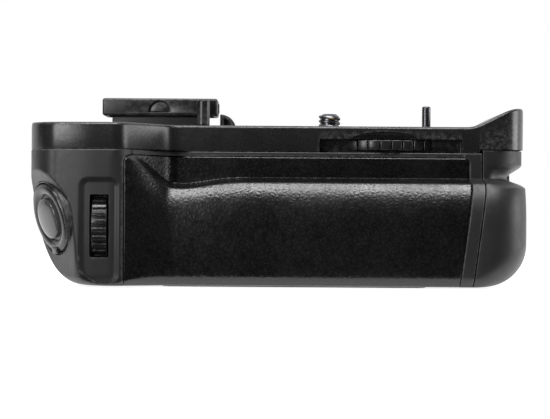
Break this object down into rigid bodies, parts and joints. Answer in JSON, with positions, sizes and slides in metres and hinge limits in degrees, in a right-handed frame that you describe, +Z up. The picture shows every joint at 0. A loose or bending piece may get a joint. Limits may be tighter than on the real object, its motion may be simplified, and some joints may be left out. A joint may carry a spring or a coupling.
{
  "type": "camera battery grip",
  "caption": "Battery grip that screws under a camera, with a pull-out cell tray, thumbwheel-driven mount screw, release button, dials and a rubber finger grip.",
  "frame": {"origin": "under the middle of the grip, on the surface that it stands on", "axes": "+X to the right seen from the front, -Y towards the viewer, +Z up to the camera"},
  "size_m": [0.137, 0.0644, 0.053],
  "materials": {
    "plate_black": "speckled satin",
    "housing_black": "fine matte",
    "grip_rubber": "leather grain",
    "control_black": "satin",
    "button_satin": "satin",
    "cap_black": "satin",
    "steel": "turned",
    "brass": "turned",
    "inner_black": "moulded",
    "board_green": "lacquered",
    "ribbon_amber": "film",
    "cell_wrap": "plain sleeve"
  },
  "bodies": {
    "grip": {"top_plate": "plate_black", "housing_shell": "housing_black", "base_plate": "housing_black", "selector_bezel": "housing_black", "release_bezel": "housing_black", "front_grip_rubber": "grip_rubber", "rear_grip_rubber": "grip_rubber", "cap_guide": "cap_black", "locating_post": "cap_black", "locating_pin": "steel", "wheel_axle": "steel", "gear_bridge": "steel", "bridge_screws": "steel", "front_dial_axle": "steel", "rear_dial_axle": "steel", "tripod_socket": "steel", "base_screws": "steel", "top_plate_screws": "steel", "release_spring": "steel", "screw_bush": "brass", "connector_contacts": "brass", "chamber_contacts": "brass", "chamber_sleeve": "inner_black", "connector_base": "inner_black", "front_dial_bracket": "inner_black", "rear_dial_bracket": "inner_black", "release_switch": "inner_black", "af_lock_switch": "inner_black", "board_components": "inner_black", "control_board": "board_green", "main_board": "board_green", "ribbon_cable": "ribbon_amber"},
    "tray": {"battery_tray": "inner_black", "tray_cells": "cell_wrap", "tray_springs": "steel", "tray_contact_plates": "steel", "tray_end_cap": "housing_black"},
    "latch": {"latch_knob": "inner_black", "latch_tongue": "steel"},
    "key": {"latch_key": "steel"},
    "screw": {"mount_screw": "steel", "screw_gear": "brass"},
    "wheel": {"thumbwheel": "control_black", "wheel_gear": "brass"},
    "cap": {"connector_cap": "cap_black"},
    "release": {"release_button": "button_satin"},
    "collar": {"lock_collar": "control_black"},
    "front_dial": {"front_dial": "control_black"},
    "rear_dial": {"rear_dial": "control_black"},
    "af_button": {"af_lock_button": "control_black"},
    "gimbal": {"selector_gimbal": "steel"},
    "pad": {"selector_pad": "control_black"}
  },
  "joints": [
    {"name": "wheel_turn", "type": "hinge", "parent": "grip", "child": "wheel", "pos_m": [0.0307, 0.0047, 0.0395], "axis": [0, 0, 1], "continuous": true},
    {"name": "screw_turn", "type": "hinge", "parent": "grip", "child": "screw", "pos_m": [0.0142, 0.009, 0.044], "axis": [0, 0, 1], "continuous": true},
    {"name": "release_press", "type": "slide", "parent": "grip", "child": "release", "axis": [0.828, 0.4975, 0.2588], "range_m": [0, 0.0012], "stiffness_N_per_m": 300, "deforming": ["release_spring"]},
    {"name": "collar_turn", "type": "hinge", "parent": "grip", "child": "collar", "pos_m": [-0.06233, -0.02264, 0.01874], "axis": [-0.828, -0.4975, -0.2588], "range_deg": [0, 30]},
    {"name": "front_dial_turn", "type": "hinge", "parent": "grip", "child": "front_dial", "pos_m": [-0.0488, -0.02275, 0.0167], "axis": [1, 0, 0], "continuous": true},
    {"name": "rear_dial_turn", "type": "hinge", "parent": "grip", "child": "rear_dial", "pos_m": [-0.053, 0.02325, 0.024], "axis": [1, 0, 0], "continuous": true},
    {"name": "af_press", "type": "slide", "parent": "grip", "child": "af_button", "axis": [0, -1, 0], "range_m": [0, 0.0008], "stiffness_N_per_m": 300},
    {"name": "selector_rock", "type": "hinge", "parent": "grip", "child": "gimbal", "pos_m": [-0.028, 0.0273, 0.0294], "axis": [1, 0, 0], "range_deg": [-6, 6], "stiffness_Nm_per_rad": 0.02},
    {"name": "selector_sway", "type": "hinge", "parent": "gimbal", "child": "pad", "pos_m": [-0.028, 0.0273, 0.0294], "axis": [0, 0, 1], "range_deg": [-6, 6], "stiffness_Nm_per_rad": 0.02},
    {"name": "tray_slide", "type": "slide", "parent": "grip", "child": "tray", "axis": [1, 0, 0], "range_m": [0, 0.105]},
    {"name": "latch_turn", "type": "hinge", "parent": "tray", "child": "latch", "pos_m": [0.064, 0.014, 0.02715], "axis": [1, 0, 0], "range_deg": [0, 90]},
    {"name": "key_fold", "type": "hinge", "parent": "latch", "child": "key", "pos_m": [0.0654, 0.014, 0.02715], "axis": [0, -1, 0], "range_deg": [0, 90]},
    {"name": "cap_lift", "type": "slide", "parent": "grip", "child": "cap", "axis": [0, 0, 1], "range_m": [0, 0.015]}
  ],
  "couplings": [
    {"joint": "screw_turn", "follows": "wheel_turn", "ratio": -2.3529}
  ]
}
